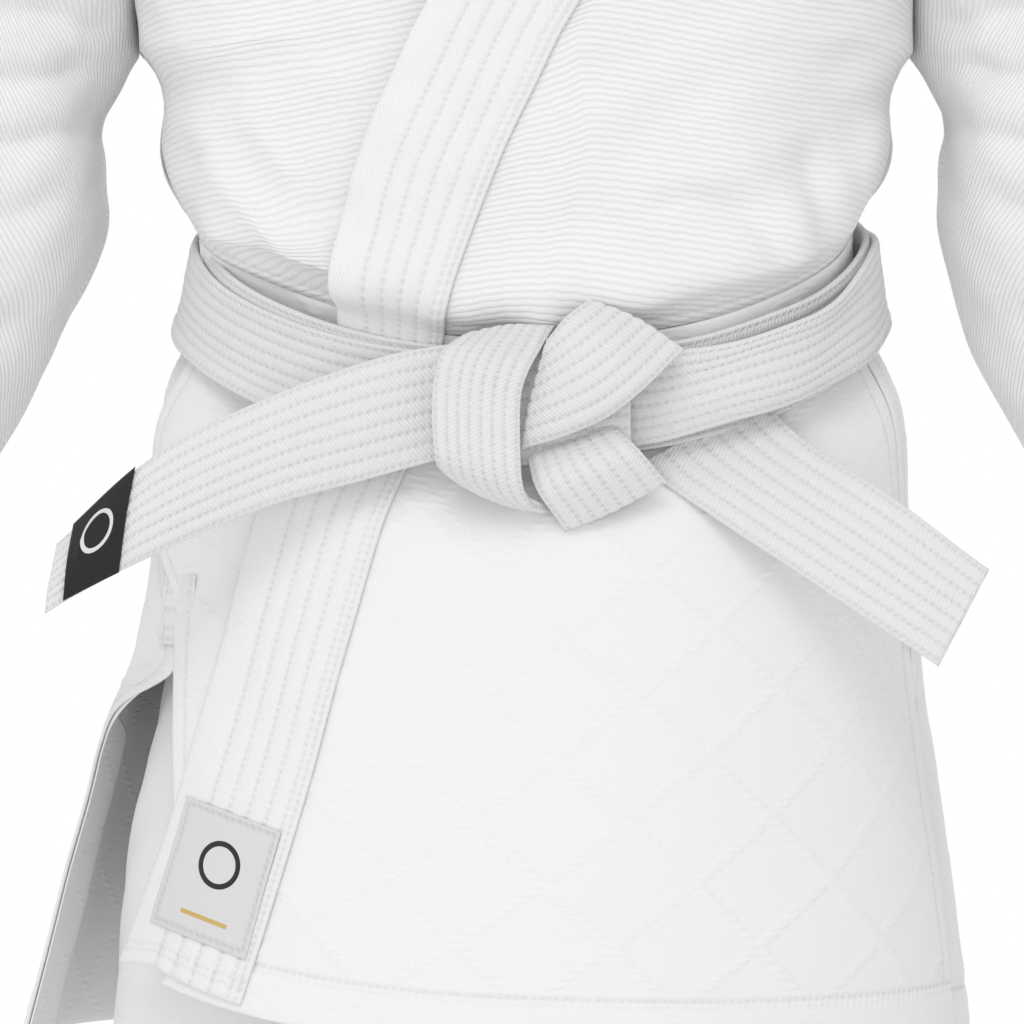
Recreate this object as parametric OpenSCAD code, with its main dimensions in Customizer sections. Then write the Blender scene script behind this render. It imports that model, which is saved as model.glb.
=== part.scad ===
// Judo uniform standing as it is worn, with no wearer inside: jacket, tied belt and trousers.
// Millimetres. The origin is the centre of the waist, +Z is up and the front faces -Y.
// Left and right are the wearer's own, so the left side is at +X.

/* [Jacket] */
// Height of the jacket's hem, below the waist
hem_z = -285; // [-300:1:-275]
// Height where the two skirt flaps begin, at the top of the side vents
vent_z = -125; // [-130:1:-120]
// Height of the armpits
armpit_z = 118; // [114:1:122]
// Height of the shoulder line beside the neck
neck_z = 425; // [410:1:440]
// How far the shoulder line drops from the neck to the armhole
shoulder_drop = 39; // [30:1:45]
// Distance of each armhole seam from the middle
armhole_x = 160; // [158:1:162]
// Half the depth of an armhole
armhole_depth = 80; // [70:1:84]
// Half the depth of the chest
chest_depth = 118; // [114:1:120]
// How far the belt pulls the jacket in
cinch_depth = 16; // [12:1:18]
// Thickness of the jacket's woven cloth
cloth_t = 2; // [1.6:0.1:2.2]
// Width of the collar band
lapel_w = 50; // [46:1:52]
// Thickness of the collar band
lapel_t = 2.5; // [2:0.1:2.6]

/* [Belt] */
// Width of the belt
belt_w = 45; // [40:1:46]
// Thickness of one layer of the belt
belt_t = 3.6; // [3:0.1:3.8]
// Length of the right belt end, from its hinge
right_end_length = 145; // [120:1:150]
// Length of the left belt end, from its hinge
left_end_length = 112; // [100:1:120]
// Slope of the right belt end below level, in degrees
right_end_slope = 25; // [20:1:30]
// Slope of the left belt end below level, in degrees
left_end_slope = 35; // [30:1:38]

/* [Sleeves] */
// Thickness of the sleeve's cloth
sleeve_t = 2; // [1.6:0.1:2.2]
// Length of the doubled cuff as a share of the sleeve
cuff_share = 0.12; // [0.08:0.01:0.14]

/* [Trousers] */
// Height of the trousers' hem, below the waist
ankle_z = -905; // [-920:1:-880]
// Height of the top of the trouser legs, where they meet the seat
leg_top_z = -230; // [-234:1:-228]
// Height of the bottom edge of the seat
seat_bottom_z = -190; // [-192:1:-186]
// Top of the waistband
waistband_z = 56; // [50:1:60]
// Height of the waistband
waistband_h = 40; // [35:1:42]
// Thickness of the trousers' cloth
trouser_t = 1.6; // [1.2:0.1:1.8]

/* [Hidden] */

seam = 0.5;             // clearance between neighbouring pieces
seam_angle = 0.2;       // the same clearance round the body, in degrees
layer_gap = 0.5;        // clearance between layers of cloth
under_out = -8.2;       // where the right front lies, inside the left front
fullness = 0.88;        // 1 is an ellipse, and less is squarer
side_seam = 74;         // angle of the side seams from the middle of the front
cinch_reach = 36;       // how far above and below the belt the jacket is pulled in
belt_low = 14.5;        // belt height: mean, front dip and side rise
belt_dip = 31;
belt_rise = 11.5;
waist_seam_up = 26;     // the waist seam's height above the belt's middle
shell_rows = 7;         // rows of points up a panel, below and above the armpit
inner_out = 9.4;        // outside of the belt's first turn
outer_out = 14.2;       // outside of its second turn
patch_out = 2.6;        // outside of a patch sewn on
patch_t = 1.3;
lapel_columns = 4;      // points across a collar band and up it
lapel_rows = 34;
belt_columns = 56;      // points round a turn of the belt and across it
belt_rows = 4;
lapel_out = 4;          // outside of the left collar band
under_lapel_out = -4.1; // outside of the right collar band, under the left front
neck_x = 78;            // half width of the neck opening at the shoulder line
neck_back = 62;         // how far back the neck opening reaches
collar_lean = [-18, 0, 46];  // from the collar's sewn edge to its free edge at the shoulder

// Half width and half depth of the jacket by height
widths = [[-285, 181], [-250, 179], [-185, 170], [-140, 163], [-100, 157], [-60, 154],
          [-25, 152], [0, 151], [45, 150], [75, 151], [105, 156], [118, 160]];
depths = [[-285, 142], [-250, 139], [-185, 132], [-140, 127], [-100, 122], [-60, 118],
          [-25, 116], [0, 116], [45, 117], [75, 118], [118, 118]];
// The collar band on the front, by height: its free edge and its sewn edge
lapel_free = [[-285, -172], [-252, -159], [-211, -144], [-162, -129], [-117, -117], [-72, -106],
              [-30, -92], [14, -77], [48, -71], [64, -68], [93, -56], [118, -45]];
lapel_sewn = [[-285, -117], [-252, -107], [-211, -94], [-162, -80], [-117, -68], [-72, -55],
              [-30, -43], [14, -30], [48, -18], [64, -12], [93, 2], [118, 14]];
// The same above the armpit, by the share of the way up to the shoulder line
lapel_free_up = [[0, -45], [0.15, -22], [0.3, -4], [0.5, 12], [0.75, 24], [1, 32]];
lapel_sewn_up = [[0, 14], [0.04, 21], [0.15, 36], [0.3, 50], [0.5, 62], [0.75, 72], [1, 78]];
// The sleeve's inner and outer lines, seen from the front
sleeve_inner = [[160.6, 118], [170, 104], [176, 85], [173, 45],
                [183, 5], [202, -33], [224, -75], [248, -118]];
sleeve_outer = [[160.6, 386], [215, 363], [262, 318], [303, 245],
                [334, 160], [362, 75], [389, -10], [412, -80]];
sleeve_depth = [80, 79, 76, 71, 67, 64, 61, 58];
// A trouser leg by height: middle, half width and half depth
leg_shape = [[-200, [82, 78, 76]], [-285, [87, 82, 79]], [-400, [92, 84, 84]],
             [-600, [100, 78, 81]], [-905, [112, 68, 74]]];
right_vent_phi = 58;    // the middle of the right vent's patch, further forward than the left one
right_flare = 17;       // how far the back flap stands out at the right vent

function mix(a, b, t) = a + (b - a) * t;
function ease(t) = let(c = min(1, max(0, t))) c * c * (3 - 2 * c);
function signed_pow(v, p) = sign(v) * pow(abs(v), p);
function along(points, t) = let(s = t * (len(points) - 1), i = min(floor(s), len(points) - 2))
    mix(points[i], points[i + 1], s - i);

// ---- the jacket's surface -------------------------------------------------------------

function belt_z(phi) = belt_low - belt_dip * cos(phi) - belt_rise * cos(2 * phi);
function waist_seam_z(phi) = belt_z(phi) + waist_seam_up;
function cinch(phi, z) = cinch_depth * exp(-pow(abs(z - belt_z(phi)) / cinch_reach, 3));
function half_width(phi, z) = lookup(z, widths) - cinch(phi, z);
function half_depth(phi, z) = lookup(z, depths) - 0.85 * cinch(phi, z);
// A point round the body: phi is 0 in the middle of the front and 90 at the wearer's left
function body_point(phi, z) = [
    half_width(phi, z) * signed_pow(sin(phi), fullness),
    -half_depth(phi, z) * signed_pow(cos(phi), fullness),
    z];
// The angle of a point on the front at that distance from the middle
function front_angle(x, z) = asin(signed_pow(max(-1, min(1, x / lookup(z, widths))), 1 / fullness));
// The side seam swings back to the armpit
function seam_phi(z) = mix(side_seam, 90, ease((z - 40) / (armpit_z - 40)));

function shoulder_z(x) = neck_z - shoulder_drop * pow(min(1, abs(x) / armhole_x), 1.3);
function foot_depth(x) =
    chest_depth * pow(max(0, 1 - pow(min(1, abs(x) / armhole_x), 2 / fullness)), fullness / 2);
function chest_half(x) = chest_depth - (chest_depth - armhole_depth) * pow(abs(x) / armhole_x, 2);
function arch(x, t) = mix(foot_depth(x), chest_half(x), ease(t / 0.4)) * sqrt(max(0, 1 - pow(t, 3)));
// A point above the armpit: t is 0 at the armpit and 1 on the shoulder line, side -1 is the front
function upper_point(x, t, side) = [x, side * arch(x, t), armpit_z + (shoulder_z(x) - armpit_z) * t];
// How far up the back a strip ends, at the shoulder line or at the neck opening
function neck_y(x) = neck_back * sqrt(max(0, 1 - pow(x / neck_x, 2)));
function back_top(x) = abs(x) >= neck_x ? 1 : pow(1 - pow(neck_y(x) / chest_half(x), 2), 1 / 3);

// ---- cloth: a grid of points given a thickness ---------------------------------------------

function grid(f, nu, nv) = [for (i = [0:nu]) [for (j = [0:nv]) f(i / nu, j / nv)]];
function ring_grid(f, nu, nv) = [for (i = [0:nu - 1]) [for (j = [0:nv]) f(i / nu, j / nv)]];
function unit(v) = norm(v) < 1e-6 ? [0, 0, 1] : v / norm(v);
function normal_at(g, i, j, closed) = let(
    n = len(g), m = len(g[0]),
    before = closed ? (i + n - 1) % n : max(i - 1, 0), after = closed ? (i + 1) % n : min(i + 1, n - 1),
    across = g[after][j] - g[before][j],
    up = g[i][min(j + 1, m - 1)] - g[i][max(j - 1, 0)])
    unit(cross(across, up));
// A point kept on its own side of the armhole: inside it for the body, outside it for a sleeve
function kept(p, low, high) = [sign(p[0]) * min(high, max(low, abs(p[0]))), p[1], p[2]];
function offset_grid(g, d, closed, low, high) =
    [for (i = [0:len(g) - 1]) for (j = [0:len(g[0]) - 1])
        kept(g[i][j] + d * normal_at(g, i, j, closed), low, high)];
function two(a, b, c, d) = [[a, b, c], [a, c, d]];

// The outside of the cloth is out from the grid, and its inside is t further in
module cloth(g, out = 0, t = cloth_t, closed = false, low = 0, high = 1e4) {
    n = len(g);
    m = len(g[0]);
    last = closed ? n - 1 : n - 2;
    function outer(i, j) = (i % n) * m + j;
    function inner(i, j) = n * m + outer(i, j);
    faces = concat(
        [for (i = [0:last]) for (j = [0:m - 2])
            each two(outer(i, j), outer(i, j + 1), outer(i + 1, j + 1), outer(i + 1, j))],
        [for (i = [0:last]) for (j = [0:m - 2])
            each two(inner(i, j), inner(i + 1, j), inner(i + 1, j + 1), inner(i, j + 1))],
        [for (i = [0:last]) each concat(
            two(outer(i, 0), outer(i + 1, 0), inner(i + 1, 0), inner(i, 0)),
            two(inner(i, m - 1), inner(i + 1, m - 1), outer(i + 1, m - 1), outer(i, m - 1)))],
        closed ? [] : [for (j = [0:m - 2]) each concat(
            two(inner(0, j), inner(0, j + 1), outer(0, j + 1), outer(0, j)),
            two(outer(n - 1, j), outer(n - 1, j + 1), inner(n - 1, j + 1), inner(n - 1, j)))]);
    outside = offset_grid(g, out, closed, low, high);
    inside = offset_grid(g, out - t, closed, low, high);
    polyhedron(concat(outside, inside), faces);
}
module body_cloth(g, out = 0, t = cloth_t) { cloth(g, out, t, high = armhole_x); }
module mirrored() { mirror([1, 0, 0]) children(); }

// ---- jacket body -----------------------------------------------------------------------------

function lapel_mid(z) = (lookup(z, lapel_free) + lookup(z, lapel_sewn)) / 2;
function lapel_mid_up(t) = lookup(t, lapel_sewn_up) - lapel_w / 2 * mix(1.18, 0.3, t);

// How far up the side a panel's point lies: v is 0 at the waist seam, 0.5 at the armpit and 1 at the shoulder
function rise(v) = sin((v - 0.5) * 2 * 88);
// Up a panel, the way across it turns from equal angles to equal widths, which the part above the armpit has
function panel_point(phi_low, phi_high, v) = let(phi = mix(phi_low, phi_high, ease(v * 2)))
    body_point(phi, mix(waist_seam_z(phi) + seam, armpit_z, v * 2));
function front_panel_low(u, v) = let(z0 = mix(waist_seam_z(-20), armpit_z, v * 2))
    panel_point(
        mix(front_angle(lapel_mid(z0), z0), seam_phi(z0) - seam_angle, u),
        front_angle(mix(lapel_mid_up(0), armhole_x - seam, u), armpit_z), v);
function front_panel_point(u, v) = v < 0.5
    ? front_panel_low(u, v)
    : let(t = rise(v)) upper_point(mix(lapel_mid_up(t), armhole_x, u), t, -1);
function back_panel_low(u, v) = let(z0 = mix(waist_seam_z(120), armpit_z, v * 2))
    panel_point(
        mix(seam_phi(z0) + seam_angle, 180 - seam_angle, u),
        180 - front_angle(mix(armhole_x - seam, seam, u), armpit_z), v);
function back_panel_point(u, v) = v < 0.5
    ? back_panel_low(u, v)
    : let(x = mix(armhole_x, seam / 2, u)) upper_point(x, rise(v) * back_top(x), 1);
function shoulder_patch_point(u, v) = let(x = mix(neck_x + 6, armhole_x - 1, u), a = mix(52, 128, v))
    upper_point(x, sin(a), a < 90 ? -1 : 1);

module front_panel(out) {
    body_cloth(grid(function(u, v) front_panel_point(u, v), 10, 2 * shell_rows), out = out);
}
module left_front_panel() { color("whitesmoke") front_panel(0); }
module right_front_panel() { color("whitesmoke") mirrored() front_panel(under_out); }
module left_back_panel() {
    color("whitesmoke") body_cloth(grid(function(u, v) back_panel_point(u, v), 8, 2 * shell_rows));
}
module right_back_panel() { mirrored() left_back_panel(); }
module left_shoulder_patch() {
    color("white") body_cloth(grid(function(u, v) shoulder_patch_point(u, v), 4, 8),
        out = patch_out + 1, t = patch_t);
}
module right_shoulder_patch() { mirrored() left_shoulder_patch(); }

// ---- collar band -------------------------------------------------------------------------------

function lapel_lower_point(u, z) =
    body_point(front_angle(mix(lookup(z, lapel_free), lookup(z, lapel_sewn), u), z), z);
function lapel_edge_up(t) = upper_point(lookup(t, lapel_sewn_up), t, -1);
function lapel_across(t) = let(
    lying = upper_point(lookup(t, lapel_free_up), t, -1) - lapel_edge_up(t),
    standing = ease((t - 0.25) / 0.65))
    unit(mix(lying, collar_lean, standing)) * mix(norm(lying), lapel_w, ease(t / 0.25));
function lapel_upper_point(u, t) = lapel_edge_up(t) + lapel_across(t) * (1 - u);
function lapel_point(u, v) = v < 0.45
    ? lapel_lower_point(u, mix(vent_z + seam, armpit_z, v / 0.45))
    : lapel_upper_point(u, sin((v - 0.45) / 0.55 * 86));
function collar_point(u, v) = let(
    a = mix(176, 4, u), x = neck_x * cos(a), y = neck_y(x), z = upper_point(x, back_top(x), 1)[2])
    [x, y, z] + unit([-0.36 * x / neck_x, -0.3 * y / neck_back, 0.93]) * lapel_w * v;

module lapel(out) {
    cloth(grid(function(u, v) lapel_point(u, v), lapel_columns, lapel_rows), out = out, t = lapel_t);
}
module left_lapel() { color("white") lapel(lapel_out); }
module right_lapel() { color("white") mirrored() lapel(under_lapel_out); }
module neck_collar() {
    color("white") cloth(grid(function(u, v) collar_point(u, v), 14, 3), t = lapel_t);
}
function lapel_end_point(u, v) = lapel_lower_point(u, mix(hem_z + 14, vent_z - seam, v));
module lapel_end(out) {
    cloth(grid(function(u, v) lapel_end_point(u, v), lapel_columns, 8), out = out, t = lapel_t);
}
module left_lapel_end() { color("white") lapel_end(lapel_out); }
module right_lapel_end() { color("white") mirrored() lapel_end(under_lapel_out); }
// The label is a rectangle turned with the band, by x and z
label_corner = [-144, -233];
label_across = [36, -13];
label_up = [14, 50];
function label_point(u, v) = let(p = label_corner + label_across * u + label_up * v)
    body_point(front_angle(p[0], p[1]), p[1]);
module lapel_label() {
    color("silver") cloth(grid(function(u, v) label_point(u, v), 3, 6), out = lapel_out + 1.6, t = 0.8);
}

// ---- skirt -----------------------------------------------------------------------------------------

function left_front_skirt_point(u, v) = let(
    z0 = mix(vent_z, waist_seam_z(-20), v),
    phi = mix(front_angle(lapel_mid(z0), z0), side_seam - seam_angle, u))
    body_point(phi, mix(vent_z + seam, waist_seam_z(phi) - seam, v));
function back_skirt_point(u, v) = let(phi = mix(side_seam + seam_angle, 360 - side_seam - seam_angle, u))
    body_point(phi, mix(vent_z + seam, waist_seam_z(phi) - seam, v));
function left_flap_point(u, v) = let(
    z = mix(hem_z, vent_z - seam, v), phi = mix(front_angle(lapel_mid(z), z), side_seam - 1, u))
    body_point(phi, z);
function right_flap_point(u, v) = let(
    z = mix(hem_z, vent_z - seam, v),
    phi = mix(-mix(48, side_seam - 3, v), -front_angle(lapel_mid(z), z), u))
    body_point(phi, z);
// The back flap stands out at the right vent
function back_flap_point(u, v) = let(
    z = mix(hem_z, vent_z - seam, v), phi = mix(82, 360 - 86, u),
    p = body_point(phi, z), share = ease((phi - 195) / 75) * pow(1 - v, 1.4))
    [p[0] - right_flare * share, p[1], p[2]];
function hem_of(point, u, v) = point(u, 0.13 * v);

module left_front_skirt() { color("white") cloth(grid(function(u, v) left_front_skirt_point(u, v), 14, 6)); }
module right_front_skirt() {
    color("white") mirrored()
        cloth(grid(function(u, v) left_front_skirt_point(u, v), 14, 6), out = under_out);
}
module back_skirt() { color("white") cloth(grid(function(u, v) back_skirt_point(u, v), 20, 6)); }
module left_front_flap() { color("white") cloth(grid(function(u, v) left_flap_point(u, v), 14, 6)); }
module right_front_flap() {
    color("white") cloth(grid(function(u, v) right_flap_point(u, v), 12, 6), out = under_out);
}
module back_flap() { color("white") cloth(grid(function(u, v) back_flap_point(u, v), 20, 6)); }
// A hem is the flap's own cloth turned up inside and stitched
module front_hem() {
    color("white") {
        cloth(grid(function(u, v) hem_of(function(a, b) left_flap_point(a, b), mix(0.24, 1, u), v), 12, 1),
            out = -cloth_t - layer_gap, t = 1);
        cloth(grid(function(u, v) hem_of(function(a, b) right_flap_point(a, b), mix(0, 0.78, u), v), 10, 1),
            out = under_out - cloth_t - layer_gap, t = 1);
    }
}
module back_hem() {
    color("white") cloth(grid(function(u, v) hem_of(function(a, b) back_flap_point(a, b), u, v), 20, 1),
        out = -cloth_t - layer_gap, t = 1);
}
module vent_patch(phi, out) {
    cloth(grid(function(u, v) body_point(mix(phi - 5, phi + 5, u), mix(vent_z + 2, vent_z + 30, v)), 3, 3),
        out = out, t = patch_t);
}
module left_vent_patch() { color("white") vent_patch(side_seam, patch_out); }
module right_vent_patch() { color("white") mirrored() vent_patch(right_vent_phi, patch_out + under_out); }

// ---- belt and knot -------------------------------------------------------------------------------------

function belt_point(u, v, lift) = let(phi = 360 * u)
    body_point(phi, belt_z(phi) + lift + belt_w * (v - 0.5));
module belt_turn(lift, out) {
    cloth(ring_grid(function(u, v) belt_point(u, v, lift), belt_columns, belt_rows),
        out = out, t = belt_t, closed = true);
}
module belt_inner_turn() { color("white") belt_turn(2, inner_out); }
module belt_outer_turn() { color("white") belt_turn(-2, outer_out); }
// How far forward the belt's face is: its edges stand out a little more than its middle
belt_front = half_depth(0, belt_z(0)) + outer_out + 4.8;
// A flat piece of the knot: an outline seen from the front, from one depth to another
module knot_slab(outline, near, far, edge = 3) {
    translate([0, -belt_front - near, 0]) rotate([90, 0, 0])
        linear_extrude(height = far - near) offset(r = edge, $fn = 24) offset(delta = -edge) polygon(outline);
}
knot_step = 10.6;  // where the knot's folds begin, in front of its core
module knot_core() { color("white") knot_slab([[-33, -58], [-33, 0], [46, 0], [46, -58]], 0.5, 10); }
module knot_wrap() {
    color("white") knot_slab(
        [[-41, -52], [-37, -2], [-8, 4], [2, 2], [-3, -30], [-1, -70], [-14, -68], [-30, -60]],
        knot_step, 24);
}
module knot_upper_loop() {
    color("white") knot_slab(
        [[3.2, 4], [12, 8], [24, 14], [61, -6], [56, -18], [40, -33], [2, -45], [-1.6, -30]],
        knot_step, 22);
}
module knot_lower_loop() {
    color("white") knot_slab([[1, -47], [38, -36], [54, -58], [40, -70], [15, -78], [3, -71]], knot_step, 19);
}

right_hinge = [-60, -36];
left_hinge = [78, -50];
end_near = 2.5;    // how far in front of the belt's face an end lies at its hinge
end_reach = 14;    // and how much further forward its tip stands
end_curl = 6;      // how much its slope changes along it, in degrees
// A point on a belt end: s along it from the hinge and w across it
function end_point(hinge, length, slope, side, s, w) = let(a = slope + end_curl * (s / length - 0.5))
    [hinge[0] + side * (s * cos(a) - w * sin(a)),
     -belt_front - end_near - end_reach * max(0, s) / length,
     hinge[1] - s * sin(a) - w * cos(a)];
// Its inner end is rounded about the hinge
function end_start(w) = -sqrt(max(0, pow(belt_w / 2, 2) - w * w));
module left_belt_end() {
    color("white") cloth(grid(function(u, v) let(
            w = (0.5 - v) * belt_w, s = mix(end_start(w), left_end_length, u))
        end_point(left_hinge, left_end_length, left_end_slope, 1, s, w), 10, 6),
        out = belt_t, t = belt_t);
}
module right_belt_end() {
    color("white") cloth(grid(function(u, v) let(
            w = (0.5 - v) * belt_w, s = mix(right_end_length, end_start(w), u))
        end_point(right_hinge, right_end_length, right_end_slope, -1, s, w), 10, 6),
        out = belt_t, t = belt_t);
}
module belt_label() {
    color("black") cloth(grid(function(u, v)
        end_point(right_hinge, right_end_length, right_end_slope, -1, right_end_length * mix(0.92, 0.72, u),
            (0.5 - v) * (belt_w - 1)), 3, 3), out = belt_t + 1.2, t = 0.8);
}

// ---- sleeves ---------------------------------------------------------------------------------------------

// s runs from the armhole to the cuff, and a goes round the sleeve from its inner line
function armhole_point(a) = let(t = (1 - cos(a)) / 2)
    [armhole_x + 0.6, -sign(sin(a)) * arch(armhole_x, t), armpit_z + (shoulder_z(armhole_x) - armpit_z) * t];
function sleeve_point(a, s) = mix(armhole_point(a), sleeve_tube_point(a, s), ease(s / 0.25));
function sleeve_tube_point(a, s) = let(
    low = along(sleeve_inner, s), high = along(sleeve_outer, s), depth = along(sleeve_depth, s),
    mid = (low + high) / 2, half = (high - low) / 2,
    p = mid - half * signed_pow(cos(a), 0.9))
    [p[0], -depth * signed_pow(sin(a), 0.9), p[1]];
function sleeve_ring(from, to) = function(u, v) sleeve_point(360 * u, mix(from, to, v));
module sleeve_cloth(g, out, t, closed) { cloth(g, out, t, closed, low = armhole_x + seam); }
module left_sleeve() {
    color("whitesmoke") sleeve_cloth(ring_grid(sleeve_ring(0, 1), 20, 14), 0, sleeve_t, true);
}
module left_cuff() {
    color("white") sleeve_cloth(ring_grid(sleeve_ring(1 - cuff_share, 1), 20, 2), patch_out, patch_t, true);
}
module left_armpit_gusset() {
    color("white") sleeve_cloth(grid(function(u, v) sleeve_point(mix(-34, 34, u), mix(0.03, 0.24, v)), 5, 4),
        patch_out, patch_t, false);
}
module right_sleeve() { mirrored() left_sleeve(); }
module right_cuff() { mirrored() left_cuff(); }
module right_armpit_gusset() { mirrored() left_armpit_gusset(); }

// ---- trousers -----------------------------------------------------------------------------------------------

seat_widths = [[-190, 146], [-120, 141], [0, 119], [60, 115]];
seat_depths = [[-190, 104], [-120, 100], [0, 84], [60, 82]];
function seat_point(phi, z) = [
    lookup(z, seat_widths) * signed_pow(sin(phi), fullness),
    -lookup(z, seat_depths) * signed_pow(cos(phi), fullness), z];
function leg_point(a, z) = let(c = lookup_leg(z))
    [c[0] + c[1] * signed_pow(sin(a), 0.94), -c[2] * signed_pow(cos(a), 0.94), z];
function lookup_leg(z) = [for (k = [0:2]) lookup(z, [for (r = leg_shape) [r[0], r[1][k]]])];

module trouser_waistband() {
    color("white") cloth(ring_grid(function(u, v)
        seat_point(360 * u, mix(waistband_z - waistband_h, waistband_z, v)), 36, 1),
        out = 2, t = 3.4, closed = true);
}
module left_trouser_seat() {
    color("white") cloth(grid(function(u, v)
        seat_point(mix(0.3, 179.7, u), mix(seat_bottom_z, waistband_z - waistband_h - seam, v)), 14, 5),
        t = trouser_t);
}
module right_trouser_seat() { mirrored() left_trouser_seat(); }
module left_trouser_leg() {
    color("white") cloth(ring_grid(function(u, v) leg_point(360 * u, mix(ankle_z, leg_top_z, v)), 20, 10),
        t = trouser_t, closed = true);
}
module left_knee_patch() {
    color("white") cloth(grid(function(u, v) leg_point(mix(-72, 72, u), mix(-650, -420, v)), 8, 4),
        out = patch_out, t = patch_t);
}
module left_leg_hem() {
    color("white") cloth(ring_grid(function(u, v) leg_point(360 * u, mix(ankle_z, ankle_z + 30, v)), 20, 1),
        out = patch_out - 0.3, t = 1.1, closed = true);
}
module right_trouser_leg() { mirrored() left_trouser_leg(); }
module right_knee_patch() { mirrored() left_knee_patch(); }
module right_leg_hem() { mirrored() left_leg_hem(); }

left_front_panel();
right_front_panel();
left_back_panel();
right_back_panel();
left_shoulder_patch();
right_shoulder_patch();
left_lapel();
right_lapel();
neck_collar();
left_front_skirt();
right_front_skirt();
back_skirt();
left_vent_patch();
right_vent_patch();
belt_inner_turn();
belt_outer_turn();
knot_core();
knot_wrap();
knot_upper_loop();
knot_lower_loop();
trouser_waistband();
left_trouser_seat();
right_trouser_seat();
left_front_flap();
right_front_flap();
left_lapel_end();
right_lapel_end();
lapel_label();
front_hem();
back_flap();
back_hem();
left_sleeve();
left_cuff();
left_armpit_gusset();
right_sleeve();
right_cuff();
right_armpit_gusset();
left_belt_end();
right_belt_end();
belt_label();
left_trouser_leg();
left_knee_patch();
left_leg_hem();
right_trouser_leg();
right_knee_patch();
right_leg_hem();
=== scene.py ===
"""The looks of a judo uniform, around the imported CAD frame: a wrapped jacket, a tied belt and trousers.

Lengths are in millimetres until a mesh is made. The front faces -Y and the wearer's left is at +X.
A piece of cloth is a grid of points over (u, v), which gets folds, a stitched relief and a thickness.
"""

from functools import partialmethod

import bpy
import numpy as np
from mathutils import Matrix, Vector


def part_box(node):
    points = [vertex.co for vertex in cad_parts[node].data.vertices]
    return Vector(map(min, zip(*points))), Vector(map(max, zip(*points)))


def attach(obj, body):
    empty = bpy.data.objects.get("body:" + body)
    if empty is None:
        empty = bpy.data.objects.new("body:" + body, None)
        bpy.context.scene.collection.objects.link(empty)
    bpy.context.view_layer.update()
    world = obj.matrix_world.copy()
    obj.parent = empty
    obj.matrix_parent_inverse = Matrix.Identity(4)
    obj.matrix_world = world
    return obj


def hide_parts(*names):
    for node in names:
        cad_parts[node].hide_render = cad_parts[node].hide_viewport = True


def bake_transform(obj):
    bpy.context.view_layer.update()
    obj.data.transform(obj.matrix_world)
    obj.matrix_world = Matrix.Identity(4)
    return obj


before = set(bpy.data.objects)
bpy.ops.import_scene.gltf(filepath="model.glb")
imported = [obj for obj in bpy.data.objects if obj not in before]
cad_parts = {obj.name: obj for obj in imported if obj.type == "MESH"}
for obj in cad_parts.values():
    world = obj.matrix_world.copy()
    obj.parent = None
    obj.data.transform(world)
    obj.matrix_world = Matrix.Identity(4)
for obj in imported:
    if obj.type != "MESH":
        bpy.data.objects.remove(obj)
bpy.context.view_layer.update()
MM = 0.001
MATERIALS = {}
RICE, QUILT, BAND, BELT = "rice_weave_cotton", "diamond_weave_cotton", "band_cotton", "belt_cotton"
TROUSER, LABEL, TAG = "trouser_cotton", "label_cloth", "black_label"
SIDES = (("left", False), ("right", True))  # the wearer's sides, and whether the surface is mirrored
STEP_SCALE = 1.0  # coarser grids while trying things


def box_mm(node):
    low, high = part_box(node)
    return np.array(low) / MM, np.array(high) / MM


def into_scene(thing):
    bpy.context.scene.collection.objects.link(thing)


# ---- driving sizes, the same as the CAD part's

HEM_Z = box_mm("back_flap")[0][2]
VENT_Z = -125.0
ARMPIT_Z = 118.0
NECK_Z = 425.0
SHOULDER_DROP = 39.0
ARMHOLE_X = 160.0
ARMHOLE_DEPTH = 80.0
CHEST_DEPTH = 118.0
CINCH_DEPTH = 16.0
CINCH_REACH = 36.0
FULLNESS = 0.88  # of the cross-section: 1 is an ellipse, less is squarer
SIDE_SEAM = 74.0
VENT_PHI = 58.0  # the top of the right vent, further forward than the left one
BACK_EDGE = 360 - SIDE_SEAM - 12.2  # the back flap's free edge at the right vent
BELT_W = 45.0
BELT_LOW, BELT_DIP, BELT_RISE = 14.5, 31.0, 11.5
WAIST_SEAM_UP = 26.0
WAIST_SHIFT = 3.5  # the waist leans to the wearer's left
LAPEL_W = 50.0
# How far each layer is laid out from the jacket's surface
UNDER_OUT = -8.2
LAPEL_OUT = 3.2
UNDER_LAPEL_OUT = -4.1
INNER_TURN_OUT = 7.2
OUTER_TURN_OUT = 11.0
NECK_X, NECK_BACK = 78.0, 62.0
ANKLE_Z = box_mm("left_trouser_leg")[0][2]
WAISTBAND_Z = box_mm("trouser_waistband")[1][2]
RIGHT_SLEEVE_OUT = 10.0
RIGHT_FLARE = 17.0
RIGHT_PINCH, LEFT_PINCH = 12.0, 6.0  # how far each side is drawn in above the belt

WIDTHS = [(-285, 181), (-250, 179), (-185, 170), (-140, 163), (-100, 157), (-60, 154),
          (-25, 152), (0, 151), (45, 150), (75, 148), (105, 147), (118, 160)]
DEPTHS = [(-285, 142), (-250, 139), (-185, 132), (-140, 127), (-100, 122), (-60, 118),
          (-25, 116), (0, 116), (45, 117), (75, 118), (118, 118)]
LAPEL_FREE = [(-285, -172), (-252, -159), (-211, -144), (-162, -129), (-117, -117), (-72, -106),
              (-30, -92), (14, -77), (48, -71), (64, -68), (93, -56), (118, -45)]
LAPEL_SEWN = [(-285, -117), (-252, -107), (-211, -94), (-162, -80), (-117, -68), (-72, -55),
              (-30, -43), (14, -30), (48, -18), (64, -12), (93, 2), (118, 14)]
LAPEL_FREE_UP = [(0, -45), (0.15, -22), (0.3, -4), (0.5, 12), (0.75, 24), (1, 32)]
LAPEL_SEWN_UP = [(0, 14), (0.04, 21), (0.15, 36), (0.3, 50), (0.5, 62), (0.75, 72), (1, 78)]
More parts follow.
